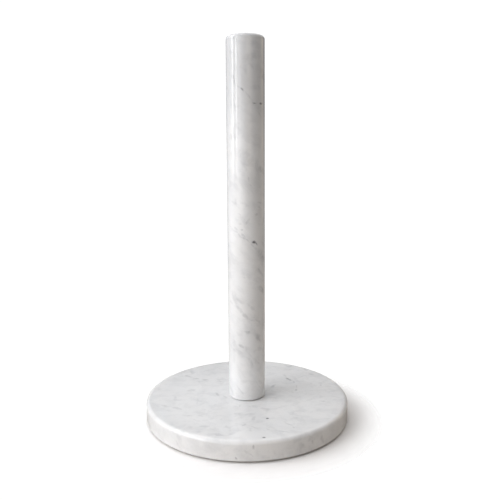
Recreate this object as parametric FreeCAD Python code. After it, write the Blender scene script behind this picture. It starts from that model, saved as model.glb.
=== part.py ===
import FreeCAD, Part
import math
import os

# Free-standing paper towel holder in polished stone, in millimetres.
# A round post stands on a round slab base. A threaded stud, bonded into the post,
# passes through the base and is clamped from below by a nut in a round recess.
# Origin: centre of the base, on the surface it stands on. +Z is up.

# ---- base slab ----
BASE_DIAMETER = 178.0
BASE_THICKNESS = 16.5
BASE_TOP_ROUND = 3.5
BASE_BOTTOM_ROUND = 1.0
STUD_HOLE_DIAMETER = 10.0
RECESS_DIAMETER = 28.0
RECESS_DEPTH = 10.5

# ---- post ----
OVERALL_HEIGHT = 325.0
POST_DIAMETER = 32.0
POST_TOP_ROUND = 3.0
POST_FOOT_ROUND = 1.0
POST_HOLE_DIAMETER = 10.0
POST_HOLE_DEPTH = 56.0
DRILL_POINT_ANGLE = 118.0
# The flat round the post, where its foot bears, is a face of its own, this much wider all round.
POST_SEAT_MARGIN = 0.5

# ---- gasket under the post ----
GASKET_DIAMETER = 28.0
GASKET_HOLE = 10.0
GASKET_THICKNESS = 0.5

# ---- feet ----
FOOT_COUNT = 4
FOOT_DIAMETER = 16.0
FOOT_HEIGHT = 1.5
FOOT_EDGE_ROUND = 0.5
FOOT_CIRCLE_RADIUS = 70.0
FIRST_FOOT_ANGLE = 45.0

# ---- M8 hardware ----
THREAD_DIAMETER = 8.0
THREAD_PITCH = 1.25
STUD_LENGTH = 70.0
STUD_END_ABOVE_FLOOR = 1.9
STUD_END_CHAMFER = 1.0
RESIN_SETBACK = 0.5

CUSHION_DIAMETER = 24.0
CUSHION_THICKNESS = 1.0
CUSHION_EDGE_ROUND = 0.2
WASHER_HOLE = 8.4
WASHER_DIAMETER = 24.0
WASHER_THICKNESS = 2.0
WASHER_CHAMFER = 0.3
SPRING_HOLE = 8.1
SPRING_DIAMETER = 14.8
SPRING_THICKNESS = 2.0
SPRING_GAP = 1.2
SPRING_GAP_TILT = 25.0

NUT_ACROSS_FLATS = 13.0
NUT_HEIGHT = 4.0
NUT_CHAMFER_ANGLE = 30.0
NUT_FACE_DIAMETER = 12.4
NUT_THREAD_CLEARANCE = 0.06
NUT_MOUTH_DIAMETER = 8.8

# ---- levels worked out from the sizes above ----
BASE_UNDERSIDE = FOOT_HEIGHT
BASE_TOP = BASE_UNDERSIDE + BASE_THICKNESS
RECESS_ROOF = BASE_UNDERSIDE + RECESS_DEPTH
POST_FOOT = BASE_TOP + GASKET_THICKNESS
POST_HOLE_END = POST_FOOT + POST_HOLE_DEPTH
CUSHION_UNDERSIDE = RECESS_ROOF - CUSHION_THICKNESS
WASHER_UNDERSIDE = CUSHION_UNDERSIDE - WASHER_THICKNESS
SPRING_UNDERSIDE = WASHER_UNDERSIDE - SPRING_THICKNESS
NUT_UNDERSIDE = SPRING_UNDERSIDE - NUT_HEIGHT
STUD_TOP = STUD_END_ABOVE_FLOOR + STUD_LENGTH

# Basic thread form: 60 degree flanks, crest flat pitch/8, root flat pitch/4.
THREAD_DEPTH = 0.625 * THREAD_PITCH * math.sqrt(3.0) / 2.0
CREST_FLAT = THREAD_PITCH / 8.0
ROOT_FLAT = THREAD_PITCH / 4.0
FLANK_HEIGHT = (THREAD_PITCH - CREST_FLAT - ROOT_FLAT) / 2.0

AXIS_POINT = FreeCAD.Vector(0, 0, 0)
UP = FreeCAD.Vector(0, 0, 1)
MATCH = 1e-4


def turned(corners):
    """Solid turned about the Z axis from (radius, height) corner points."""
    points = [FreeCAD.Vector(radius, 0, height) for radius, height in corners]
    outline = Part.makePolygon(points + points[:1])
    return Part.Face(outline).revolve(AXIS_POINT, UP, 360)


def ring(outer_diameter, hole_diameter, underside, thickness):
    """Flat ring round the Z axis."""
    top = underside + thickness
    return turned([
        (hole_diameter / 2, underside),
        (outer_diameter / 2, underside),
        (outer_diameter / 2, top),
        (hole_diameter / 2, top),
    ])


def circle_edges(solid, diameter, height):
    """Edges of a turned solid that are full circles of this diameter at this height."""
    found = []
    for edge in solid.Edges:
        if not isinstance(edge.Curve, Part.Circle):
            continue
        same_size = abs(edge.Curve.Radius - diameter / 2) < MATCH
        if same_size and abs(edge.Curve.Center.z - height) < MATCH:
            found.append(edge)
    return found


def base():
    """Slab with a rounded top edge, a stud hole and a round recess for the hardware."""
    seat_radius = POST_DIAMETER / 2 + POST_SEAT_MARGIN
    slab = turned([
        (STUD_HOLE_DIAMETER / 2, RECESS_ROOF),
        (RECESS_DIAMETER / 2, RECESS_ROOF),
        (RECESS_DIAMETER / 2, BASE_UNDERSIDE),
        (BASE_DIAMETER / 2, BASE_UNDERSIDE),
        (BASE_DIAMETER / 2, BASE_TOP),
        (seat_radius, BASE_TOP),
        (STUD_HOLE_DIAMETER / 2, BASE_TOP),
    ])
    slab = slab.makeFillet(BASE_TOP_ROUND, circle_edges(slab, BASE_DIAMETER, BASE_TOP))
    return slab.makeFillet(BASE_BOTTOM_ROUND, circle_edges(slab, BASE_DIAMETER, BASE_UNDERSIDE))


def post_hole():
    """Blind hole in the post, with the cone that the drill point leaves."""
    radius = POST_HOLE_DIAMETER / 2
    point_height = radius / math.tan(math.radians(DRILL_POINT_ANGLE / 2))
    return turned([
        (0, POST_FOOT),
        (radius, POST_FOOT),
        (radius, POST_HOLE_END),
        (0, POST_HOLE_END + point_height),
    ])


def post():
    """Round bar with a flat, round-edged top and a blind hole from below."""
    radius = POST_DIAMETER / 2
    bar = turned([(0, POST_FOOT), (radius, POST_FOOT), (radius, OVERALL_HEIGHT), (0, OVERALL_HEIGHT)])
    bar = bar.makeFillet(POST_TOP_ROUND, circle_edges(bar, POST_DIAMETER, OVERALL_HEIGHT))
    bar = bar.makeFillet(POST_FOOT_ROUND, circle_edges(bar, POST_DIAMETER, POST_FOOT))
    return bar.cut(post_hole())


def threaded_bar(underside, top, clearance=0.0):
    """Bar with closed V rings at the thread's pitch, in step from end to end of the stud."""
    crest = THREAD_DIAMETER / 2 + clearance
    root = crest - THREAD_DEPTH
    corners = [(0, underside), (root, underside)]
    turn_start = underside + (STUD_END_ABOVE_FLOOR - underside) % THREAD_PITCH
    while turn_start + THREAD_PITCH < top + MATCH:
        flank_start = turn_start + ROOT_FLAT / 2
        crest_start = flank_start + FLANK_HEIGHT
        crest_end = crest_start + CREST_FLAT
        flank_end = crest_end + FLANK_HEIGHT
        corners += [(root, flank_start), (crest, crest_start), (crest, crest_end), (root, flank_end)]
        turn_start += THREAD_PITCH
    corners += [(root, top), (0, top)]
    return turned(corners)


def stud():
    """Threaded stud with a chamfer at each end."""
    bar = threaded_bar(STUD_END_ABOVE_FLOOR, STUD_TOP)
    crest = THREAD_DIAMETER / 2
    tip = crest - STUD_END_CHAMFER
    envelope = turned([
        (0, STUD_END_ABOVE_FLOOR),
        (tip, STUD_END_ABOVE_FLOOR),
        (crest, STUD_END_ABOVE_FLOOR + STUD_END_CHAMFER),
        (crest, STUD_TOP - STUD_END_CHAMFER),
        (tip, STUD_TOP),
        (0, STUD_TOP),
    ])
    return bar.common(envelope)


def stud_resin(stud_shape):
    """Epoxy that fills the post's hole round the stud, wiped back a little at the mouth."""
    mouth = turned([
        (0, POST_FOOT),
        (POST_HOLE_DIAMETER / 2, POST_FOOT),
        (POST_HOLE_DIAMETER / 2, POST_FOOT + RESIN_SETBACK),
        (0, POST_FOOT + RESIN_SETBACK),
    ])
    return post_hole().cut(mouth).cut(stud_shape)


def post_gasket():
    """Thin rubber ring that keeps the post's foot off the base."""
    return ring(GASKET_DIAMETER, GASKET_HOLE, BASE_TOP, GASKET_THICKNESS)


def cushion_washer():
    """Rubber washer under the stone web, with softened rims."""
    washer = ring(CUSHION_DIAMETER, WASHER_HOLE, CUSHION_UNDERSIDE, CUSHION_THICKNESS)
    rims = circle_edges(washer, CUSHION_DIAMETER, CUSHION_UNDERSIDE)
    rims += circle_edges(washer, CUSHION_DIAMETER, RECESS_ROOF)
    return washer.makeFillet(CUSHION_EDGE_ROUND, rims)


def flat_washer():
    """Large flat washer, chamfered on the side that faces down."""
    washer = ring(WASHER_DIAMETER, WASHER_HOLE, WASHER_UNDERSIDE, WASHER_THICKNESS)
    rim = circle_edges(washer, WASHER_DIAMETER, WASHER_UNDERSIDE)
    return washer.makeChamfer(WASHER_CHAMFER, rim)


def spring_washer():
    """Split lock washer, pressed flat, with its slanted gap."""
    washer = ring(SPRING_DIAMETER, SPRING_HOLE, SPRING_UNDERSIDE, SPRING_THICKNESS)
    middle = SPRING_UNDERSIDE + SPRING_THICKNESS / 2
    cutter_height = 3 * SPRING_THICKNESS
    corner = FreeCAD.Vector(0, -SPRING_GAP / 2, middle - cutter_height / 2)
    cutter = Part.makeBox(SPRING_DIAMETER, SPRING_GAP, cutter_height, corner)
    cutter.rotate(FreeCAD.Vector(0, 0, middle), FreeCAD.Vector(1, 0, 0), SPRING_GAP_TILT)
    return washer.cut(cutter)


def hexagon(across_flats, height):
    """Closed outline of a hexagon, flats facing +Y and -Y."""
    corner_radius = across_flats / math.sqrt(3.0)
    corners = []
    for step in range(7):
        angle = math.radians(60.0 * step)
        corners.append(FreeCAD.Vector(corner_radius * math.cos(angle), corner_radius * math.sin(angle), height))
    return Part.makePolygon(corners)


def nut():
    """Thin hexagon nut: corners chamfered on both faces, threaded bore with chamfered mouths."""
    top = NUT_UNDERSIDE + NUT_HEIGHT
    blank = Part.Face(hexagon(NUT_ACROSS_FLATS, NUT_UNDERSIDE)).extrude(UP * NUT_HEIGHT)
    face_radius = NUT_FACE_DIAMETER / 2
    reach = NUT_ACROSS_FLATS / math.sqrt(3.0) + 1.0
    drop = (reach - face_radius) * math.tan(math.radians(NUT_CHAMFER_ANGLE))
    envelope = turned([
        (0, NUT_UNDERSIDE),
        (face_radius, NUT_UNDERSIDE),
        (reach, NUT_UNDERSIDE + drop),
        (reach, top - drop),
        (face_radius, top),
        (0, top),
    ])
    bore = threaded_bar(NUT_UNDERSIDE - THREAD_PITCH, top + THREAD_PITCH, NUT_THREAD_CLEARANCE)
    mouth_radius = NUT_MOUTH_DIAMETER / 2
    for face_level, inward in ((NUT_UNDERSIDE, 1), (top, -1)):
        cone = turned([
            (0, face_level),
            (mouth_radius, face_level),
            (0, face_level + inward * mouth_radius),
        ])
        bore = bore.fuse(cone)
    return blank.common(envelope).cut(bore)


def foot(angle):
    """Low round pad stuck under the base, with a rounded lower rim."""
    radius = FOOT_DIAMETER / 2
    pad = turned([(0, 0), (radius, 0), (radius, FOOT_HEIGHT), (0, FOOT_HEIGHT)])
    pad = pad.makeFillet(FOOT_EDGE_ROUND, circle_edges(pad, FOOT_DIAMETER, 0.0))
    turn = math.radians(angle)
    pad.translate(FreeCAD.Vector(math.cos(turn), math.sin(turn), 0) * FOOT_CIRCLE_RADIUS)
    return pad


def all_pieces():
    """Every piece of the holder, by name."""
    stud_shape = stud()
    pieces = {
        "base": base(),
        "post": post(),
        "post_gasket": post_gasket(),
        "stud": stud_shape,
        "stud_resin": stud_resin(stud_shape),
        "cushion_washer": cushion_washer(),
        "flat_washer": flat_washer(),
        "spring_washer": spring_washer(),
        "nut": nut(),
    }
    for number in range(FOOT_COUNT):
        angle = FIRST_FOOT_ANGLE + number * 360.0 / FOOT_COUNT
        pieces["foot_%d" % (number + 1)] = foot(angle)
    return pieces


os.makedirs("parts", exist_ok=True)
for name, shape in all_pieces().items():
    shape.exportStep("parts/%s.step" % name)
    box = shape.BoundBox
    print("%-15s solids %d  valid %s  volume %10.1f mm3  z %7.2f to %7.2f" % (
        name, len(shape.Solids), shape.isValid(), shape.Volume, box.ZMin, box.ZMax))
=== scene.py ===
import math

import bpy
import bmesh
from mathutils import Matrix, Vector, noise


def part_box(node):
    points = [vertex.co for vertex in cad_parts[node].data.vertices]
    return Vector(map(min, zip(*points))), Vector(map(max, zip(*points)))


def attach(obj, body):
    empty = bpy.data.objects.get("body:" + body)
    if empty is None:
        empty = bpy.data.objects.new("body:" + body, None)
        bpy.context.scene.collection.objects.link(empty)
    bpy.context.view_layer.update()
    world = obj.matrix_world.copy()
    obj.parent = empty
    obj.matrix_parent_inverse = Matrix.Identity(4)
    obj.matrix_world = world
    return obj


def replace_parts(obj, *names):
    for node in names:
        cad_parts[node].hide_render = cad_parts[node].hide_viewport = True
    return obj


# Free-standing marble paper towel holder. Lengths are in metres, +Z is up, and the origin is the
# centre of the base on the surface it stands on. Stone patterns are laid out in millimetres.

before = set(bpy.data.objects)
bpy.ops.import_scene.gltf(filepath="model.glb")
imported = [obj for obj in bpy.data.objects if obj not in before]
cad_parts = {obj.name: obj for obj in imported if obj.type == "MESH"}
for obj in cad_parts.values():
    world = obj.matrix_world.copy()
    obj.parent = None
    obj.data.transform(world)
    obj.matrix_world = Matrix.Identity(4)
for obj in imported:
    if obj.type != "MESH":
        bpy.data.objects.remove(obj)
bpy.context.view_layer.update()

MM = 0.001
BODY = "root"
SAME_LEVEL = 0.001 * MM
SAME_RADIUS = 0.02 * MM
ON_AXIS = 1e-9
CREASE_ANGLE = math.radians(35.0)


# ---------------------------------------------------------------- sizes read from the frame

def low_of(name):
    """Lowest level of a CAD node."""
    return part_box(name)[0].z


def high_of(name):
    """Highest level of a CAD node."""
    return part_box(name)[1].z


def outer_radius(name):
    """How far a CAD node that is centred on the Z axis reaches along X."""
    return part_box(name)[1].x


def radii_at(name, height):
    """Radii of a turned CAD node's edges at one level, smallest first."""
    found = []
    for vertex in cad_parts[name].data.vertices:
        radius = math.hypot(vertex.co.x, vertex.co.y)
        at_level = abs(vertex.co.z - height) < SAME_LEVEL
        if at_level and all(abs(radius - other) > SAME_RADIUS for other in found):
            found.append(radius)
    return sorted(found)


# ---------------------------------------------------------------- mesh helpers

def arc(centre, radius, start, end, steps):
    """Points of an arc in the (radius, height) plane, angles in degrees, both ends included."""
    points = []
    for step in range(steps + 1):
        angle = math.radians(start + (end - start) * step / steps)
        points.append((centre[0] + radius * math.cos(angle), centre[1] + radius * math.sin(angle)))
    return points


def spaced(points, longest, closed):
    """The same profile with points added so that no run is longer than `longest`."""
    ends = points[1:] + points[:1] if closed else points[1:]
    result = []
    for (r0, z0), (r1, z1) in zip(points, ends):
        parts = max(1, math.ceil(math.hypot(r1 - r0, z1 - z0) / longest))
        for part in range(parts):
            share = part / parts
            result.append((r0 + (r1 - r0) * share, z0 + (z1 - z0) * share))
    if not closed:
        result.append(points[-1])
    return result


def on_circle(radius, angle, height):
    """Point at an angle in radians round the Z axis."""
    return (radius * math.cos(angle), radius * math.sin(angle), height)


def turned_mesh(bm, profile, segments, closed):
    """Adds a surface turned about Z to bm. A profile point on the axis becomes one vertex."""
    rows = []
    for radius, height in profile:
        count = segments if radius > ON_AXIS else 1
        angles = [2 * math.pi * step / segments for step in range(count)]
        rows.append([bm.verts.new(on_circle(radius, angle, height)) for angle in angles])
    pairs = list(zip(rows, rows[1:]))
    if closed:
        pairs.append((rows[-1], rows[0]))
    for lower, upper in pairs:
        for segment in range(segments):
            following = segment + 1
            corners = [lower[segment % len(lower)], lower[following % len(lower)],
                       upper[following % len(upper)], upper[segment % len(upper)]]
            distinct = [v for i, v in enumerate(corners) if v not in corners[:i]]
            bm.faces.new(distinct)


def finished(name, bm, materials):
    """Makes the object from bm, shades it smooth up to CREASE_ANGLE, and puts it on the frame."""
    bmesh.ops.recalc_face_normals(bm, faces=bm.faces)
    for face in bm.faces:
        face.smooth = True
    for edge in bm.edges:
        if len(edge.link_faces) == 2 and edge.calc_face_angle() > CREASE_ANGLE:
            edge.smooth = False
    mesh = bpy.data.meshes.new(name)
    bm.to_mesh(mesh)
    bm.free()
    for material in materials:
        mesh.materials.append(material)
    piece = bpy.data.objects.new(name, mesh)
    bpy.context.scene.collection.objects.link(piece)
    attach(piece, BODY)
    return piece


# ---------------------------------------------------------------- node helpers

# Sockets of a Mix node that is set to colours.
MIX_SHARE, MIX_FIRST, MIX_SECOND, MIX_RESULT = 0, 6, 7, 2


def node(tree, kind, inputs=None, **settings):
    """Adds a shader node. An input is a value or an output socket to link."""
    made = tree.nodes.new(kind)
    for key, value in settings.items():
        setattr(made, key, value)
    for key, value in (inputs or {}).items():
        if isinstance(value, bpy.types.NodeSocket):
            tree.links.new(value, made.inputs[key])
        else:
            made.inputs[key].default_value = value
    return made


def maths(tree, operation, first, second=0.0):
    """Result socket of a Math node."""
    return node(tree, "ShaderNodeMath", {0: first, 1: second}, operation=operation).outputs[0]


def vector_maths(tree, operation, first, second):
    """Vector result socket of a Vector Math node."""
    made = node(tree, "ShaderNodeVectorMath", {0: first, 1: second}, operation=operation)
    return made.outputs["Vector"]


def length_of(tree, vector):
    """Socket with the length of a vector."""
    return node(tree, "ShaderNodeVectorMath", {0: vector}, operation="LENGTH").outputs["Value"]


def ramp(tree, value, low, high, to_low=0.0, to_high=1.0):
    """Smooth step of a value from low..high to to_low..to_high."""
    inputs = {"Value": value, "From Min": low, "From Max": high, "To Min": to_low, "To Max": to_high}
    return node(tree, "ShaderNodeMapRange", inputs, interpolation_type="SMOOTHSTEP").outputs["Result"]


def blend_colours(tree, share, first, second):
    """Colour socket that goes from first to second as share goes from 0 to 1."""
    made = node(tree, "ShaderNodeMix", data_type="RGBA")
    for key, value in ((MIX_SHARE, share), (MIX_FIRST, first), (MIX_SECOND, second)):
        socket = made.inputs[key]
        if isinstance(value, bpy.types.NodeSocket):
            tree.links.new(value, socket)
        elif isinstance(value, tuple):
            socket.default_value = (*value, 1.0)
        else:
            socket.default_value = value
    return made.outputs[MIX_RESULT]


def noise_at(tree, vector, size, detail=2.0, roughness=0.5):
    """Noise value socket, 0 to 1, whose features measure about `size` in the vector's units."""
    inputs = {"Vector": vector, "Scale": 1.0 / size, "Detail": detail, "Roughness": roughness}
    return node(tree, "ShaderNodeTexNoise", inputs).outputs[0]


def warped(tree, vector, size, reach):
    """Vector socket pushed about by up to `reach`, in swirls of about `size`."""
    inputs = {"Vector": vector, "Scale": 1.0 / size, "Detail": 2.0}
    drift = node(tree, "ShaderNodeTexNoise", inputs).outputs["Color"]
    centred = vector_maths(tree, "SUBTRACT", drift, (0.5, 0.5, 0.5))
    return vector_maths(tree, "ADD", vector, vector_maths(tree, "MULTIPLY", centred, (2 * reach,) * 3))


def object_millimetres(tree, shift=(0, 0, 0)):
    """Place on the piece, in millimetres."""
    place = node(tree, "ShaderNodeTexCoord").outputs["Object"]
    inputs = {"Vector": place, "Location": shift, "Scale": (1 / MM,) * 3}
    return node(tree, "ShaderNodeMapping", inputs).outputs[0]


def new_material(name, **values):
    """Material with one Principled shader, and the values that are the same all over the surface."""
    material = bpy.data.materials.new(name)
    material.use_nodes = True
    tree = material.node_tree
    shader = tree.nodes["Principled BSDF"]
    for key, value in values.items():
        shader.inputs[key.replace("_", " ")].default_value = value
    return material, tree, shader


def give_bump(tree, shader, height, distance):
    """Bump on the shader from a height socket. Distance is in metres."""
    inputs = {"Height": height, "Distance": distance, "Strength": 1.0}
    tree.links.new(node(tree, "ShaderNodeBump", inputs).outputs[0], shader.inputs["Normal"])


# ---------------------------------------------------------------- marble

WHITE_STONE = (0.84, 0.84, 0.845)
SAWN_STONE = (0.86, 0.86, 0.85)
CLOUD_STONE = (0.60, 0.605, 0.62)
VEIN_STONE = (0.36, 0.37, 0.39)
SPECK_STONE = (0.13, 0.13, 0.14)

# The stone is slightly translucent, for red light a little more than for blue.
STONE_BODY = {
    "IOR": 1.5,
    "Subsurface_Weight": 0.6,
    "Subsurface_Radius": (1.0, 0.95, 0.9),
    "Subsurface_Scale": 2.5 * MM,
}

# Size of the pattern's features in millimetres, and how far each takes the stone to its colour.
CLOUD_SIZE = 46.0
CLOUD_SHARE = 0.22
MOTTLE_SIZE = 11.0
MOTTLE_SHARE = 0.40
BLOTCH_SIZE = 7.0
BLOTCH_GROUP_SIZE = 24.0
BLOTCH_SHARE = 0.28
CRYSTAL_SIZE = 0.9
CRYSTAL_SHARE = 0.07
SAWN_SHARE = 0.22
VEIN_BREAK_SIZE = 4.0
VEIN_REACH_SIZE = 26.0
SMUDGE_GRAIN_SIZE = 2.6
POLISHED_ROUGHNESS = (0.05, 0.11)
POLISHED_GRAIN = 0.001 * MM
SAWN_ROUGHNESS = (0.42, 0.62)
SAWN_GRAIN = 0.05 * MM


def sheet_veins(tree, place, sheets):
    """Thin broken veins: each sheet is (point it passes through, normal, half width, strength)."""
    bent = warped(tree, place, size=30.0, reach=6.0)
    wandering = warped(tree, bent, size=7.0, reach=1.6)
    seen = ramp(tree, noise_at(tree, place, VEIN_REACH_SIZE, 1.0), 0.46, 0.60)
    gaps = ramp(tree, noise_at(tree, place, VEIN_BREAK_SIZE, 3.0, 0.6), 0.42, 0.66)
    broken = maths(tree, "MULTIPLY", seen, gaps)
    total = 0.0
    for through, normal, half_width, strength in sheets:
        offset = vector_maths(tree, "SUBTRACT", wandering, through)
        both = {0: offset, 1: Vector(normal).normalized()}
        away = node(tree, "ShaderNodeVectorMath", both, operation="DOT_PRODUCT").outputs["Value"]
        line = ramp(tree, maths(tree, "ABSOLUTE", away), 0.0, half_width, strength, 0.0)
        total = maths(tree, "MAXIMUM", line, total)
    return maths(tree, "MULTIPLY", total, broken)


SOLID_SHARE = 0.3


def soft_marks(tree, place, marks):
    """Soft-edged marks: each is (start, end, half width, strength), drawn out from start to end.
    A mark has its full strength as far as SOLID_SHARE of the way out from its middle."""
    total = 0.0
    for start, end, half_width, strength in marks:
        along = Vector(end) - Vector(start)
        inputs = {
            "Vector": place,
            "Location": (Vector(start) + Vector(end)) / 2,
            "Rotation": along.to_track_quat("X", "Z").to_euler(),
            "Scale": (along.length / 2 + half_width, half_width, half_width),
        }
        local = node(tree, "ShaderNodeMapping", inputs, vector_type="TEXTURE").outputs[0]
        mark = ramp(tree, length_of(tree, local), SOLID_SHARE, 1.0, strength, 0.0)
        total = maths(tree, "MAXIMUM", mark, total)
    return total


def marble(name, turn, shift, stretch, greys, sheets, smudges, specks, polished=True):
    """White stone: grey areas, clouds, mottling, small blotches, veins, smudges, specks and crystals; on
    the post the greys also paint shade on its top.
    turn lays the layers of the block, and stretch draws its pattern out along them."""
    material, tree, shader = new_material(name, **STONE_BODY)
    place = object_millimetres(tree)
    laid = {"Vector": object_millimetres(tree, shift), "Rotation": [math.radians(a) for a in turn]}
    block = node(tree, "ShaderNodeMapping", laid).outputs[0]
    layers = vector_maths(tree, "MULTIPLY", warped(tree, block, size=34.0, reach=9.0), stretch)
    curdled = warped(tree, layers, size=9.0, reach=3.0)

    # On the post these grey areas include painted shade on its top and rounded top edge.
    grey_areas = soft_marks(tree, warped(tree, place, size=25.0, reach=8.0), greys)
    clouds = ramp(tree, noise_at(tree, layers, CLOUD_SIZE, 2.0), 0.38, 0.68)
    mottle = ramp(tree, noise_at(tree, curdled, MOTTLE_SIZE, 5.0, 0.62), 0.42, 0.72)
    patches = ramp(tree, noise_at(tree, curdled, BLOTCH_SIZE, 2.0, 0.45), 0.50, 0.78)
    groups = ramp(tree, noise_at(tree, layers, BLOTCH_GROUP_SIZE, 1.0), 0.42, 0.60)
    blotches = maths(tree, "MULTIPLY", patches, groups)
    veins = sheet_veins(tree, place, sheets)
    smudged = soft_marks(tree, warped(tree, place, size=3.0, reach=1.3), smudges)
    uneven = ramp(tree, noise_at(tree, place, SMUDGE_GRAIN_SIZE, 2.0), 0.32, 0.62, 0.45, 1.0)
    spots = soft_marks(tree, warped(tree, place, size=1.6, reach=0.5), specks)
    crystals = noise_at(tree, place, CRYSTAL_SIZE, 2.0, 0.7)

    coats = [
        (grey_areas, CLOUD_STONE),
        (maths(tree, "MULTIPLY", clouds, CLOUD_SHARE), CLOUD_STONE),
        (maths(tree, "MULTIPLY", mottle, MOTTLE_SHARE), CLOUD_STONE),
        (maths(tree, "MULTIPLY", blotches, BLOTCH_SHARE), VEIN_STONE),
        (veins, VEIN_STONE),
        (maths(tree, "MULTIPLY", smudged, uneven), VEIN_STONE),
        (spots, SPECK_STONE),
        (ramp(tree, crystals, 0.35, 0.75, 0.0, CRYSTAL_SHARE), CLOUD_STONE),
    ]
    if polished:
        finish = ramp(tree, noise_at(tree, place, 6.0, 3.0), 0.3, 0.8, *POLISHED_ROUGHNESS)
        give_bump(tree, shader, crystals, POLISHED_GRAIN)
    else:
        coats.append((SAWN_SHARE, SAWN_STONE))
        finish = ramp(tree, crystals, 0.3, 0.8, *SAWN_ROUGHNESS)
        give_bump(tree, shader, crystals, SAWN_GRAIN)
    stone = WHITE_STONE
    for share, colour in coats:
        stone = blend_colours(tree, share, stone, colour)
    tree.links.new(stone, shader.inputs["Base Color"])
    tree.links.new(finish, shader.inputs["Roughness"])
    return material


# Places on the slab's top are (x, y), on its rim (degrees right of the front, height), and on the
# post (millimetres round to the right of the front, height). The front is the side towards -Y.
SLAB_TOP = high_of("base") / MM
SLAB_RADIUS = outer_radius("base") / MM
POST_RADIUS = outer_radius("post") / MM


def on_slab(x, y):
    """Point on the slab's top, in millimetres."""
    return (x, y, SLAB_TOP)


def on_rim(degrees, height):
    """Point on the slab's rim, in millimetres."""
    angle = math.radians(degrees)
    return (SLAB_RADIUS * math.sin(angle), -SLAB_RADIUS * math.cos(angle), height)


def on_post(around, height):
    """Point on the post's side, in millimetres."""
    angle = around / POST_RADIUS
    return (POST_RADIUS * math.sin(angle), -POST_RADIUS * math.cos(angle), height)


def marks_at(surface, rows):
    """Marks on one surface from rows of (two start values, two end values, half width, strength)."""
    return [(surface(*row[0:2]), surface(*row[2:4]), row[4], row[5]) for row in rows]


SLAB_GREYS = marks_at(on_slab, [
    (-75, 25, -45, 70, 42, 0.30), (-60, 0, -40, -5, 40, 0.12), (0, -20, 5, -60, 18, 0.22),
])
SLAB_SHEETS = [
    (on_slab(-47, 38), (0.34, 0.93, -0.4), 1.8, 0.30),
    (on_slab(20, -71), (0.29, 0.95, 0.5), 1.3, 0.28),
    (on_slab(-50, -10), (-0.15, 0.98, 0.6), 1.6, 0.25),
    (on_slab(-30, 80), (0.2, 0.9, -0.3), 1.6, 0.25),
]
SLAB_SMUDGES = marks_at(on_slab, [
    (-60, 47, -54, 42, 2.4, 0.34), (-51, 38, -46, 37, 2.0, 0.40), (-42, 36, -37, 34, 2.2, 0.44),
    (35, 49, 38, 40, 1.2, 0.25), (37, 39, 42, 31, 2.0, 0.66), (43.5, 29, 44.5, 26, 1.5, 0.46),
    (46, 22, 45.5, 12, 0.9, 0.26), (45, 10, 44.5, 7, 1.7, 0.50), (61, 48, 64, 47, 2.0, 0.42),
    (46, 36, 60, 47, 1.2, 0.22), (39, 72, 43, 68, 2.8, 0.30), (57, 60, 60, 57, 1.6, 0.34),
    (69, 21, 68, 18, 1.5, 0.26), (26, 22, 22, 14, 2.4, 0.42), (-6, -23, -6.5, -27, 1.0, 0.36),
    (-1, -59, -4, -63, 1.4, 0.36), (-28, 4, -25, -4, 1.7, 0.42), (-21, -3, -18, -8, 1.6, 0.34),
    (-54, 8, -48, 10, 3.0, 0.32), (-63.5, -3, -63.5, -12, 1.6, 0.20),
    (-43.5, -7, -43, -22, 1.3, 0.18), (-46, -14, -38, -15, 1.5, 0.22),
    (63, -16, 69, -17, 2.0, 0.32), (-54, -43, -44, -44, 1.5, 0.22), (-63, -27, -56, -31, 3.0, 0.30),
    (-74, -22, -68, -25, 1.8, 0.30), (-37, -63, -30, -63, 2.4, 0.32), (-26, -76, -18, -79, 2.8, 0.32),
    (28, -54, 37, -65, 1.2, 0.22), (36, -65, 37, -66, 1.1, 0.34), (18, -70, 36, -75, 1.2, 0.24),
    (2, -69, 3, -72, 1.4, 0.26), (6, -46, 4, -55, 2.2, 0.30), (-36, -45, -40, -43, 1.8, 0.18),
    (11, -30, 15, -31, 1.3, 0.22), (-24, 20, -22, 40, 3.0, 0.10),
]) + marks_at(on_rim, [
    (2.9, 14.5, 2.9, 12.0, 1.2, 0.50), (-5.6, 4.6, -5.2, 3.2, 1.1, 0.50), (-1.6, 11, 0.6, 8.4, 1.5, 0.20),
    (0.6, 8.4, 3.4, 5.2, 0.9, 0.26), (34.6, 10, 35.2, 8, 1.5, 0.34), (41.0, 10.5, 42.5, 5.0, 2.4, 0.30),
    (-39, 9, -38, 6.5, 1.6, 0.24), (26, 12, 30, 7, 2.6, 0.14), (-20, 12, -16, 9, 2.6, 0.12),
])
SLAB_SPECKS = marks_at(on_slab, [
    (16.3, -49.7, 16.7, -49.6, 1.5, 0.95), (12.0, -82.6, 13.2, -82.4, 1.4, 0.80),
    (38.6, 37, 39.6, 35, 0.9, 0.5),
])
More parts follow.
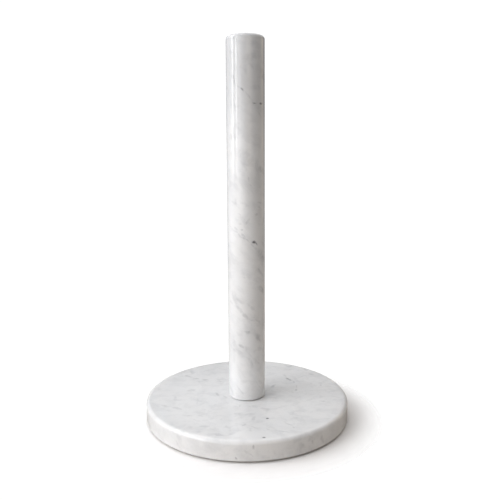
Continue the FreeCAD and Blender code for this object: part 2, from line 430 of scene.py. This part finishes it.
# These marks go right through the post, so they are given by points on its axis. The first makes the post
# darker towards its top, the second makes it darker in a band at about two thirds of its height, and the
# last is painted shade on the post's top face, its rounded top edge and the top of its side.
POST_GREYS_AND_TOP_SHADE = [
    ((0, 0, 345), (0, 0, 290), 75.0, 0.55),
    ((0, 0, 235), (0, 0, 225), 50.0, 0.20),
    # Painted shade: darkens the post's flat top, its rounded top edge and about the top centimetre of its
    # side.
    ((0, 0, 328), (0, 0, 326), 24.0, 0.8),
]
POST_SHEETS = [
    (on_post(0, 279), (0.70, 0.1, 0.72), 1.6, 0.35),
    (on_post(0, 160), (0.62, -0.1, 0.78), 1.4, 0.35),
    (on_post(0, 97), (0.60, 0.2, 0.80), 1.8, 0.30),
    (on_post(0, 62), (0.68, 0.1, 0.73), 1.5, 0.30),
    (on_post(0, 21), (0.62, 0.2, 0.78), 1.6, 0.28),
    (on_post(0, 228), (0.45, -0.2, 0.87), 1.8, 0.22),
]
POST_SMUDGES = marks_at(on_post, [
    (-12, 294, -9, 286, 2.6, 0.30), (-4.2, 282.8, -1.6, 280.6, 1.2, 0.55),
    (0.5, 279, 4.5, 273.5, 1.3, 0.24), (5.4, 271, 9.2, 270.5, 1.2, 0.50), (3, 273, 16, 266, 4.0, 0.13),
    (12.2, 270.8, 16.5, 270.6, 1.3, 0.62), (4, 318, 14, 314, 4.5, 0.20), (0, 305, 13, 310, 5.0, 0.24),
    (16, 297, 21, 289, 4.5, 0.32), (-5, 232, 4, 225, 7.0, 0.20), (9, 226, 11, 216, 3.0, 0.24),
    (12, 219, 19, 215, 3.4, 0.32), (3.2, 208, 1.8, 212, 1.2, 0.26), (2.4, 207, 5.5, 203, 1.1, 0.20),
    (10, 190.6, 15, 190.2, 1.1, 0.28), (10.8, 187, 13, 186.8, 1.1, 0.28),
    (8.2, 181, 9.4, 180.6, 1.4, 0.36), (-6.5, 182, -4.4, 180.4, 1.1, 0.28),
    (2.4, 177.5, 0.2, 173.5, 1.4, 0.30), (-6.5, 173.5, -3.2, 172.6, 1.1, 0.28),
    (-4.4, 168.5, -2.4, 168, 1.0, 0.40), (-10.5, 170, -8, 168, 1.5, 0.30),
    (-3.6, 165, -0.6, 160.6, 1.3, 0.44), (-0.6, 160.6, 2.8, 158.2, 1.0, 0.32),
    (5.0, 158, 8.4, 157.2, 1.6, 0.70), (8, 157, 10, 155.4, 1.2, 0.50), (10, 150, 20, 142, 5.0, 0.32),
    (15, 157, 20, 153, 2.6, 0.24), (-6, 128.4, 2, 127.6, 1.2, 0.15), (11, 119, 18, 114, 3.2, 0.34),
    (-13, 114, -9, 107, 4.0, 0.16), (-9, 103, -3.6, 97.5, 2.2, 0.30), (-3.6, 97, 1.2, 92, 2.0, 0.34),
    (1.2, 92, 7, 90, 1.4, 0.22), (0.5, 105.5, 8, 98, 1.7, 0.22), (-1.2, 80.6, 2.4, 79.6, 2.2, 0.40),
    (8.4, 77, 13, 71.5, 3.0, 0.34), (-7.2, 69.2, -3, 66.2, 1.5, 0.42), (-2, 65.4, 8, 54, 1.3, 0.24),
    (10, 66, 18, 62, 1.8, 0.20), (-10, 31.5, -3, 24, 1.7, 0.22), (-2, 45, 8, 38, 3.0, 0.10),
    (11, 36, 16, 30, 2.4, 0.16),
])
POST_SPECKS = marks_at(on_post, [
    (13.2, 270.7, 15.2, 270.6, 1.0, 0.70), (6.4, 270.8, 8.2, 270.6, 0.7, 0.45),
    (-3.4, 282, -2.2, 281, 0.7, 0.40), (5.8, 157.8, 7.4, 157.5, 1.3, 0.85),
    (8.2, 157, 9.2, 156, 0.8, 0.45),
])


# ---------------------------------------------------------------- stone pieces

POLISH_WAVE = 0.06 * MM
POLISH_WAVES_PER_METRE = 42.0
# Waves along Z, as a share of those across it.
POLISH_WAVES_UPRIGHT = 0.6
FACE_MARGIN = 0.05 * MM
ROUND_STEPS = 10
STONE_RUN = 2.5 * MM
BASE_SEGMENTS = 256
POST_SEGMENTS = 160
DRILL_POINT_ANGLE = 118.0


def hand_polish(bm, keep_flat):
    """Sinks the polished faces by up to twice POLISH_WAVE in long soft waves, drawn out upwards."""
    bmesh.ops.recalc_face_normals(bm, faces=bm.faces)
    bm.normal_update()
    moves = []
    for vertex in bm.verts:
        if not keep_flat(vertex.co):
            drawn_out = (vertex.co.x, vertex.co.y, POLISH_WAVES_UPRIGHT * vertex.co.z)
            spot = Vector(drawn_out) * POLISH_WAVES_PER_METRE
            moves.append((vertex, vertex.normal * (-POLISH_WAVE * (1.0 + noise.noise(spot)))))
    for vertex, move in moves:
        vertex.co += move


def make_base(polished, honed):
    """Slab: polished top and rim, sawn underside, recess and stud hole for the hardware below."""
    low, high = low_of("base"), high_of("base")
    rim = outer_radius("base")
    top_radii = radii_at("base", high)
    low_radii = radii_at("base", low)
    hole, recess = top_radii[0], low_radii[0]
    top_round = rim - top_radii[-1]
    low_round = rim - low_radii[-1]
    roof = high_of("cushion_washer")
    profile = [(hole, roof), (recess, roof), (recess, low)]
    profile += arc((rim - low_round, low + low_round), low_round, -90, 0, ROUND_STEPS)
    profile += arc((rim - top_round, high - top_round), top_round, 0, 90, ROUND_STEPS)
    profile += [(hole, high)]
    bm = bmesh.new()
    turned_mesh(bm, spaced(profile, STONE_RUN, True), BASE_SEGMENTS, True)
    seat = outer_radius("post")
    hand_polish(bm, lambda co: co.z < low + low_round or math.hypot(co.x, co.y) < seat)
    for face in bm.faces:
        middle = face.calc_center_median()
        inside = math.hypot(middle.x, middle.y) < recess and middle.z < high - FACE_MARGIN
        below = middle.z < low + FACE_MARGIN
        face.material_index = 1 if inside or below else 0
    return finished("marble_base", bm, [polished, honed])


def make_post(polished):
    """Round bar with a blind hole from below."""
    low, high = low_of("post"), high_of("post")
    radius = outer_radius("post")
    top_round = radius - radii_at("post", high)[-1]
    foot_radii = radii_at("post", low)
    foot_round = radius - foot_radii[-1]
    hole = foot_radii[0]
    hole_end = high_of("stud_resin")
    cone = hole / math.tan(math.radians(DRILL_POINT_ANGLE / 2))
    profile = [(0.0, hole_end), (hole, hole_end - cone), (hole, low)]
    profile += arc((radius - foot_round, low + foot_round), foot_round, -90, 0, ROUND_STEPS)
    profile += arc((radius - top_round, high - top_round), top_round, 0, 90, ROUND_STEPS)
    profile += [(0.0, high)]
    bm = bmesh.new()
    turned_mesh(bm, spaced(profile, STONE_RUN, False), POST_SEGMENTS, False)
    bored = 1.2 * hole
    hand_polish(bm, lambda co: co.z < low + foot_round or math.hypot(co.x, co.y) < bored)
    return finished("marble_post", bm, [polished])


# ---------------------------------------------------------------- rubber, steel and resin materials

DARK_RUBBER = (0.035, 0.035, 0.036)
DARK_DUST = (0.10, 0.10, 0.10)
PALE_RUBBER = (0.60, 0.59, 0.56)
PALE_DUST = (0.46, 0.45, 0.43)
FRESH_ZINC = (0.74, 0.75, 0.78)
DULL_ZINC = (0.66, 0.65, 0.62)
SCRATCH_LAY = (0.35, 6.0, 2.0)
LIGHT_RESIN = (0.55, 0.45, 0.27)
DEEP_RESIN = (0.48, 0.38, 0.20)
BUBBLE_RESIN = (0.70, 0.62, 0.45)


def rubber(name, colour, dust, roughness, grain):
    """Soft rubber: fine moulded grain and a little dust that lies in patches."""
    material, tree, shader = new_material(name, IOR=1.5)
    place = object_millimetres(tree)
    dusty = ramp(tree, noise_at(tree, place, 3.0, 4.0, 0.65), 0.45, 0.75, 0.0, 0.5)
    tree.links.new(blend_colours(tree, dusty, colour, dust), shader.inputs["Base Color"])
    fine = noise_at(tree, place, 0.18, 2.0, 0.7)
    matt = ramp(tree, fine, 0.3, 0.7, roughness - 0.06, roughness + 0.08)
    tree.links.new(matt, shader.inputs["Roughness"])
    give_bump(tree, shader, fine, grain)
    return material


def zinc_steel():
    """Bright zinc plate over steel: faint spangle, rubbed patches and fine scratches."""
    material, tree, shader = new_material("zinc_plate", Metallic=1.0)
    place = object_millimetres(tree)
    patch = noise_at(tree, place, 2.5, 4.0, 0.6)
    scratch = noise_at(tree, vector_maths(tree, "MULTIPLY", place, SCRATCH_LAY), 0.9, 3.0, 0.6)
    dulled = ramp(tree, patch, 0.35, 0.7, 0.0, 0.6)
    colour = blend_colours(tree, dulled, FRESH_ZINC, DULL_ZINC)
    tree.links.new(colour, shader.inputs["Base Color"])
    rubbed = ramp(tree, patch, 0.3, 0.75, 0.20, 0.34)
    scored = ramp(tree, scratch, 0.4, 0.8, 0.0, 0.12)
    tree.links.new(maths(tree, "ADD", rubbed, scored), shader.inputs["Roughness"])
    give_bump(tree, shader, scratch, 0.006 * MM)
    return material


def epoxy():
    """Honey-coloured cured resin with a few small bubbles."""
    material, tree, shader = new_material("cured_resin", Roughness=0.25)
    place = object_millimetres(tree)
    bubbles = ramp(tree, noise_at(tree, place, 0.8, 2.0), 0.62, 0.70)
    depth = ramp(tree, noise_at(tree, place, 8.0), 0.3, 0.7)
    colour = blend_colours(tree, depth, LIGHT_RESIN, DEEP_RESIN)
    tree.links.new(blend_colours(tree, bubbles, colour, BUBBLE_RESIN), shader.inputs["Base Color"])
    return material


# ---------------------------------------------------------------- soft rings and feet

SOFT_SEGMENTS = 96
EDGE_STEPS = 8
GASKET_RUN = 2 * MM
SMALL_RUN = 1 * MM
SWELLING = 0.35


def make_gasket(material):
    """Thin rubber ring between post and slab; its rim bulges a little where it is squeezed."""
    low, high = low_of("post_gasket"), high_of("post_gasket")
    rim, hole = outer_radius("post_gasket"), radii_at("post_gasket", low)[0]
    bulge = (high - low) / 2
    profile = arc((rim - bulge, low + bulge), bulge, -90, 90, EDGE_STEPS)
    profile += [(hole, high), (hole, low)]
    bm = bmesh.new()
    turned_mesh(bm, spaced(profile, GASKET_RUN, True), SOFT_SEGMENTS, True)
    return finished("post_joint_ring", bm, [material])


def make_cushion(material):
    """Rubber washer, its rim swollen by the clamp."""
    low, high = low_of("cushion_washer"), high_of("cushion_washer")
    rim, hole = outer_radius("cushion_washer"), radii_at("cushion_washer", low)[0]
    half = (high - low) / 2
    swelling = SWELLING * half
    profile = []
    for step in range(EDGE_STEPS + 1):
        angle = math.radians(-90 + 180 * step / EDGE_STEPS)
        profile.append((rim - swelling * (1 - math.cos(angle)), low + half * (1 + math.sin(angle))))
    profile += [(hole, high), (hole, low)]
    bm = bmesh.new()
    turned_mesh(bm, spaced(profile, SMALL_RUN, True), SOFT_SEGMENTS, True)
    return finished("rubber_washer", bm, [material])


def make_foot(number, material):
    """Stick-on pad: drafted side, rounded rim, and a shallow moulded dish in its lower face."""
    node_name = "foot_%d" % number
    corner_low, corner_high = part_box(node_name)
    centre = (corner_low + corner_high) / 2
    radius = (corner_high.x - corner_low.x) / 2
    height = corner_high.z - corner_low.z
    rim_round = 0.5 * MM
    dish_radius, dish_depth = 0.55 * radius, 0.15 * MM
    dish_floor = dish_radius - 4 * dish_depth
    draft = 0.12 * MM
    edge_height, edge_width = 0.1 * MM, 0.05 * MM
    profile = [(0.0, dish_depth), (dish_floor, dish_depth), (dish_radius, 0.0)]
    profile += arc((radius - draft - rim_round, rim_round), rim_round, -90, 0, EDGE_STEPS)
    profile += [(radius, height - edge_height), (radius - edge_width, height), (0.0, height)]
    bm = bmesh.new()
    turned_mesh(bm, spaced(profile, SMALL_RUN, False), SOFT_SEGMENTS, False)
    bmesh.ops.translate(bm, verts=bm.verts, vec=(centre.x, centre.y, corner_low.z))
    piece = finished("foot_pad_%d" % number, bm, [material])
    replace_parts(piece, node_name)


# ---------------------------------------------------------------- steel hardware

HARD_SEGMENTS = 96
THREAD_PITCH = 1.25 * MM
# Five eighths of the height of the metric thread's triangle.
THREAD_DEPTH = 0.625 * THREAD_PITCH * math.sqrt(3) / 2
# One pitch of thread: share of the pitch, and height from root (0) to crest (1).
THREAD_FORM = (
    (0.0, 0.0), (0.10, 0.04), (0.15, 0.10), (0.43, 0.96),
    (0.5, 1.0), (0.57, 0.96), (0.85, 0.10), (0.90, 0.04),
)
WELD_DISTANCE = 0.002 * MM
NO_LENGTH = 0.001 * MM


def thread_mesh(bm, low, high, crest, limit):
    """Adds a right-hand helical thread from low to high. limit(radius, height) trims it at the ends."""
    turns = math.ceil((high - low) / THREAD_PITCH) + 2
    rows = []
    for row in range(turns * len(THREAD_FORM)):
        turn, step = divmod(row, len(THREAD_FORM))
        share, rise = THREAD_FORM[step]
        radius = crest - THREAD_DEPTH * (1.0 - rise)
        verts = []
        for segment in range(HARD_SEGMENTS):
            around = segment / HARD_SEGMENTS
            height = low + (turn - 1 + share + around) * THREAD_PITCH
            height = min(max(height, low), high)
            verts.append(bm.verts.new(on_circle(limit(radius, height), 2 * math.pi * around, height)))
        rows.append(verts)
    for row in range(len(rows) - 1):
        for segment in range(HARD_SEGMENTS):
            if segment + 1 < HARD_SEGMENTS:
                right_low, right_high = rows[row][segment + 1], rows[row + 1][segment + 1]
            elif row + 1 + len(THREAD_FORM) < len(rows):
                right_low = rows[row + len(THREAD_FORM)][0]
                right_high = rows[row + 1 + len(THREAD_FORM)][0]
            else:
                continue
            bm.faces.new((rows[row][segment], right_low, right_high, rows[row + 1][segment]))


def weld(bm):
    """Joins points that coincide and removes the faces that this leaves without area."""
    bmesh.ops.remove_doubles(bm, verts=bm.verts, dist=WELD_DISTANCE)
    bmesh.ops.dissolve_degenerate(bm, edges=bm.edges, dist=NO_LENGTH)
    loose = [v for v in bm.verts if not v.link_faces]
    bmesh.ops.delete(bm, geom=loose, context="VERTS")


def close_flat_ends(bm):
    """Fills every open edge loop with one face."""
    open_edges = [e for e in bm.edges if len(e.link_faces) == 1]
    bmesh.ops.holes_fill(bm, edges=open_edges, sides=0)


def make_stud(material):
    """Threaded stud with a true helical thread and chamfered ends."""
    low, high = low_of("stud"), high_of("stud")
    crest = outer_radius("stud")
    chamfer = crest - radii_at("stud", low)[-1]

    def limit(radius, height):
        from_end = min(height - low, high - height)
        return min(radius, crest - chamfer + from_end)

    bm = bmesh.new()
    thread_mesh(bm, low, high, crest, limit)
    weld(bm)
    close_flat_ends(bm)
    return finished("threaded_stud", bm, [material])


NUT_CHAMFER_SLOPE = math.tan(math.radians(30.0))
NUT_THREAD_CLEARANCE = 0.06 * MM
NUT_CORNER_BEVEL = 0.18 * MM


def make_nut(material):
    """Thin hexagon nut: chamfered corners, helical thread with chamfered mouths."""
    low, high = low_of("nut"), high_of("nut")
    corner_radius = outer_radius("nut")
    flat_radius = corner_radius * math.sqrt(3) / 2
    face_radii = radii_at("nut", low)
    mouth, face = face_radii[0], face_radii[-1]
    crest = outer_radius("stud") + NUT_THREAD_CLEARANCE

    def limit(radius, height):
        from_face = min(height - low, high - height)
        return max(radius, mouth - from_face)

    bm = bmesh.new()
    thread_mesh(bm, low, high, crest, limit)
    rows = []
    for at_top in (False, True):
        ring = []
        for segment in range(HARD_SEGMENTS):
            angle = 2 * math.pi * segment / HARD_SEGMENTS
            within = angle % (math.pi / 3) - math.pi / 6
            hexagon = flat_radius / math.cos(within)
            drop = (hexagon - face) * NUT_CHAMFER_SLOPE
            edge_height = high - drop if at_top else low + drop
            face_height = high if at_top else low
            ring.append([bm.verts.new(on_circle(mouth, angle, face_height)),
                         bm.verts.new(on_circle(face, angle, face_height)),
                         bm.verts.new(on_circle(hexagon, angle, edge_height))])
        rows.append(ring)
    corners = []
    for segment in range(HARD_SEGMENTS):
        after = (segment + 1) % HARD_SEGMENTS
        for ring in rows:
            here, there = ring[segment], ring[after]
            for step in (0, 1):
                bm.faces.new((here[step], there[step], there[step + 1], here[step + 1]))
        bm.faces.new((rows[0][segment][2], rows[0][after][2], rows[1][after][2], rows[1][segment][2]))
        if segment % (HARD_SEGMENTS // 6) == 0:
            corners.append(bm.edges.get((rows[0][segment][2], rows[1][segment][2])))
    bmesh.ops.bevel(bm, geom=corners, offset=NUT_CORNER_BEVEL, segments=3, affect="EDGES", profile=0.5)
    weld(bm)
    return finished("hexagon_nut", bm, [material])


def make_flat_washer(material):
    """Stamped washer: rolled edge on the lower side, sharp edge above."""
    low, high = low_of("flat_washer"), high_of("flat_washer")
    rim, hole = outer_radius("flat_washer"), radii_at("flat_washer", high)[0]
    roll, burr = 0.35 * MM, 0.06 * MM
    profile = arc((rim - roll, low + roll), roll, -90, 0, EDGE_STEPS)
    profile += [(rim, high - burr), (rim - burr, high), (hole + burr, high), (hole, high - burr)]
    profile += arc((hole + roll, low + roll), roll, 180, 270, EDGE_STEPS)
    bm = bmesh.new()
    turned_mesh(bm, spaced(profile, SMALL_RUN, True), HARD_SEGMENTS, True)
    return finished("wide_washer", bm, [material])


SPLIT_GAP = 1.2 * MM
SPLIT_TILT = math.radians(25.0)
SPLIT_STEPS = 90


def make_spring_washer(material):
    """Split washer, pressed flat, with its slanted gap and softened edges."""
    low, high = low_of("spring_washer"), high_of("spring_washer")
    rim, hole = outer_radius("spring_washer"), radii_at("spring_washer", high)[0]
    soft = 0.12 * MM
    section = [(hole + soft, low), (rim - soft, low), (rim, low + soft), (rim, high - soft),
               (rim - soft, high), (hole + soft, high), (hole, high - soft), (hole, low + soft)]
    middle = (low + high) / 2
    bm = bmesh.new()
    rings = []
    for step in range(SPLIT_STEPS + 1):
        share = step / SPLIT_STEPS
        ring = []
        for radius, height in section:
            slant = -math.tan(SPLIT_TILT) * (height - middle)
            start = math.asin((SPLIT_GAP / 2 + slant) / radius)
            end = 2 * math.pi + math.asin((slant - SPLIT_GAP / 2) / radius)
            ring.append(bm.verts.new(on_circle(radius, start + (end - start) * share, height)))
        rings.append(ring)
    count = len(section)
    for before, after in zip(rings, rings[1:]):
        for index in range(count):
            following = (index + 1) % count
            bm.faces.new((before[index], before[following], after[following], after[index]))
    bm.faces.new(rings[0])
    bm.faces.new(rings[-1])
    return finished("split_washer", bm, [material])


# ---------------------------------------------------------------- the holder

SLAB_STONE = {
    "turn": (62, 0, 8), "shift": (310, 40, 95), "stretch": (0.9, 1.0, 1.1),
    "greys": SLAB_GREYS, "sheets": SLAB_SHEETS, "smudges": SLAB_SMUDGES, "specks": SLAB_SPECKS,
}
POST_STONE = {
    "turn": (12, -42, 0), "shift": (75, 260, 30), "stretch": (0.68, 0.9, 1.2),
    "greys": POST_GREYS_AND_TOP_SHADE, "sheets": POST_SHEETS, "smudges": POST_SMUDGES, "specks": POST_SPECKS,
}

slab_polished = marble("marble_of_slab", **SLAB_STONE)
slab_honed = marble("marble_sawn", polished=False, **SLAB_STONE)
post_polished = marble("marble_of_post", **POST_STONE)
black_rubber = rubber("black_rubber", DARK_RUBBER, DARK_DUST, roughness=0.62, grain=0.01 * MM)
pale_rubber = rubber("pale_rubber", PALE_RUBBER, PALE_DUST, roughness=0.48, grain=0.008 * MM)
plated = zinc_steel()

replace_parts(make_base(slab_polished, slab_honed), "base")
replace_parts(make_post(post_polished), "post")
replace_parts(make_gasket(black_rubber), "post_gasket")
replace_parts(make_cushion(black_rubber), "cushion_washer")
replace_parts(make_flat_washer(plated), "flat_washer")
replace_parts(make_spring_washer(plated), "spring_washer")
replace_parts(make_nut(plated), "nut")
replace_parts(make_stud(plated), "stud")
for foot_number in range(1, 5):
    make_foot(foot_number, pale_rubber)
# The resin is sealed inside the post, so its CAD node stays and only gets a material.
cured_resin = epoxy()
for resin_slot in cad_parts["stud_resin"].material_slots:
    resin_slot.material = cured_resin


# ---------------------------------------------------------------- stage, light and camera

LIGHT_TARGET = Vector((0.0, 0.0, 0.16))
COOL = (0.985, 0.99, 1.0)
WARM = (1.0, 0.82, 0.62)


def softbox(name, azimuth, distance, height, size, radiance, colour=COOL):
    """Area light that faces the holder. Azimuth is measured from the camera's side, left positive."""
    turn = math.radians(azimuth)
    data = bpy.data.lights.new(name, "AREA")
    data.shape = "RECTANGLE"
    data.size, data.size_y = size
    data.energy = radiance * math.pi * size[0] * size[1]
    data.color = colour
    lamp = bpy.data.objects.new(name, data)
    lamp.location = (-distance * math.sin(turn), -distance * math.cos(turn), height)
    lamp.rotation_euler = (LIGHT_TARGET - lamp.location).to_track_quat("-Z", "Y").to_euler()
    lamp.visible_camera = False
    bpy.context.scene.collection.objects.link(lamp)


FLOOR_SEEN = (1.0, 0.988, 0.984)
FLOOR_BOUNCE = (0.525, 0.49, 0.455)
FLOOR_HALF_SIZE = 1.2
SHADOW_FADE_START, SHADOW_FADE_END = 0.094, 0.128
BOUNCE_FADE_START, BOUNCE_FADE_END = 0.30, 0.85


def make_floor():
    """Pale table top that fades out all round into the backdrop, and throws less light back up."""
    bm = bmesh.new()
    bmesh.ops.create_grid(bm, x_segments=8, y_segments=8, size=FLOOR_HALF_SIZE)
    mesh = bpy.data.meshes.new("floor")
    bm.to_mesh(mesh)
    bm.free()
    material, tree, shader = new_material("pale_floor", Roughness=1.0, Specular_IOR_Level=0.0)
    seen = node(tree, "ShaderNodeLightPath").outputs["Is Camera Ray"]
    tree.links.new(blend_colours(tree, seen, FLOOR_BOUNCE, FLOOR_SEEN), shader.inputs["Base Color"])
    place = node(tree, "ShaderNodeTexCoord").outputs["Object"]
    away = length_of(tree, place)
    near = ramp(tree, away, SHADOW_FADE_START, SHADOW_FADE_END, 1.0, 0.0)
    far = ramp(tree, away, BOUNCE_FADE_START, BOUNCE_FADE_END, 1.0, 0.0)
    for_camera = maths(tree, "MULTIPLY", near, seen)
    for_light = maths(tree, "MULTIPLY", far, maths(tree, "SUBTRACT", 1.0, seen))
    tree.links.new(maths(tree, "ADD", for_camera, for_light), shader.inputs["Alpha"])
    mesh.materials.append(material)
    floor = bpy.data.objects.new("floor", mesh)
    bpy.context.scene.collection.objects.link(floor)


BACKDROP = 1.05
HORIZON_BLUR = 0.02


def make_world(above, below):
    """White backdrop for the camera; for everything else dim light, brighter from below the horizon."""
    world = bpy.data.worlds.new("studio")
    bpy.context.scene.world = world
    world.use_nodes = True
    tree = world.node_tree
    background = tree.nodes["Background"]
    background.inputs["Color"].default_value = (1.0, 1.0, 1.0, 1.0)
    direction = node(tree, "ShaderNodeTexCoord").outputs["Generated"]
    height = node(tree, "ShaderNodeSeparateXYZ", {0: direction}).outputs["Z"]
    fill = ramp(tree, height, -HORIZON_BLUR, HORIZON_BLUR, below, above)
    seen = node(tree, "ShaderNodeLightPath").outputs["Is Camera Ray"]
    tree.links.new(ramp(tree, seen, 0.0, 1.0, fill, BACKDROP), background.inputs["Strength"])


# The camera stands in front, level with about two thirds of the post's height. Angles are in degrees.
CAMERA_PLACE = (0.0, -0.508, 0.2328)
CAMERA_YAW = -0.36
CAMERA_DOWN = 9.39
CAMERA_ROLL = -0.25
SENSOR_WIDTH = 36.0
LENS = 43.1
NEAREST_SEEN = 0.01


def make_camera():
    """Camera at the photograph's place and angle, in sharp focus all through."""
    data = bpy.data.cameras.new("camera")
    data.sensor_width = SENSOR_WIDTH
    data.lens = LENS
    data.clip_start = NEAREST_SEEN
    camera = bpy.data.objects.new("camera", data)
    camera.location = CAMERA_PLACE
    yaw = Matrix.Rotation(math.radians(CAMERA_YAW), 4, "Z")
    tilt = Matrix.Rotation(math.radians(90.0 - CAMERA_DOWN), 4, "X")
    roll = Matrix.Rotation(math.radians(CAMERA_ROLL), 4, "Z")
    camera.rotation_euler = (yaw @ tilt @ roll).to_euler()
    bpy.context.scene.collection.objects.link(camera)
    bpy.context.scene.camera = camera


make_floor()
make_world(above=0.17, below=0.25)
# Each lamp: azimuth in degrees, distance from the Z axis, height, (width, height) of its face, radiance.
# The two strips draw the bright lines on the post's left, and the warm ones light its shaded side.
softbox("over_back", 180, 0.6, 1.4, (2.6, 2.0), 0.67)
softbox("over_left", 75, 0.7, 1.2, (1.9, 1.9), 0.75)
softbox("left_wall", 78, 1.0, 0.75, (1.0, 1.1), 0.48)
softbox("left_low", 78, 1.0, 0.20, (1.0, 0.4), 0.9)
softbox("left_strip", 82, 0.98, 0.54, (0.16, 0.8), 6.0)
softbox("thin_strip", 56, 1.0, 0.54, (0.11, 0.8), 7.5)
softbox("front_left", 40, 1.3, 0.45, (0.6, 0.9), 1.4)
softbox("front_low", 30, 1.4, 0.20, (1.4, 0.4), 1.3)
softbox("front_right", -20, 1.6, 0.5, (0.8, 0.8), 0.95, WARM)
softbox("right_edge", -117, 1.2, 0.5, (0.30, 1.0), 1.25, WARM)
softbox("back_low", 180, 1.5, 0.72, (0.7, 0.6), 0.32)
make_camera()
bpy.context.scene.view_settings.view_transform = "Standard"
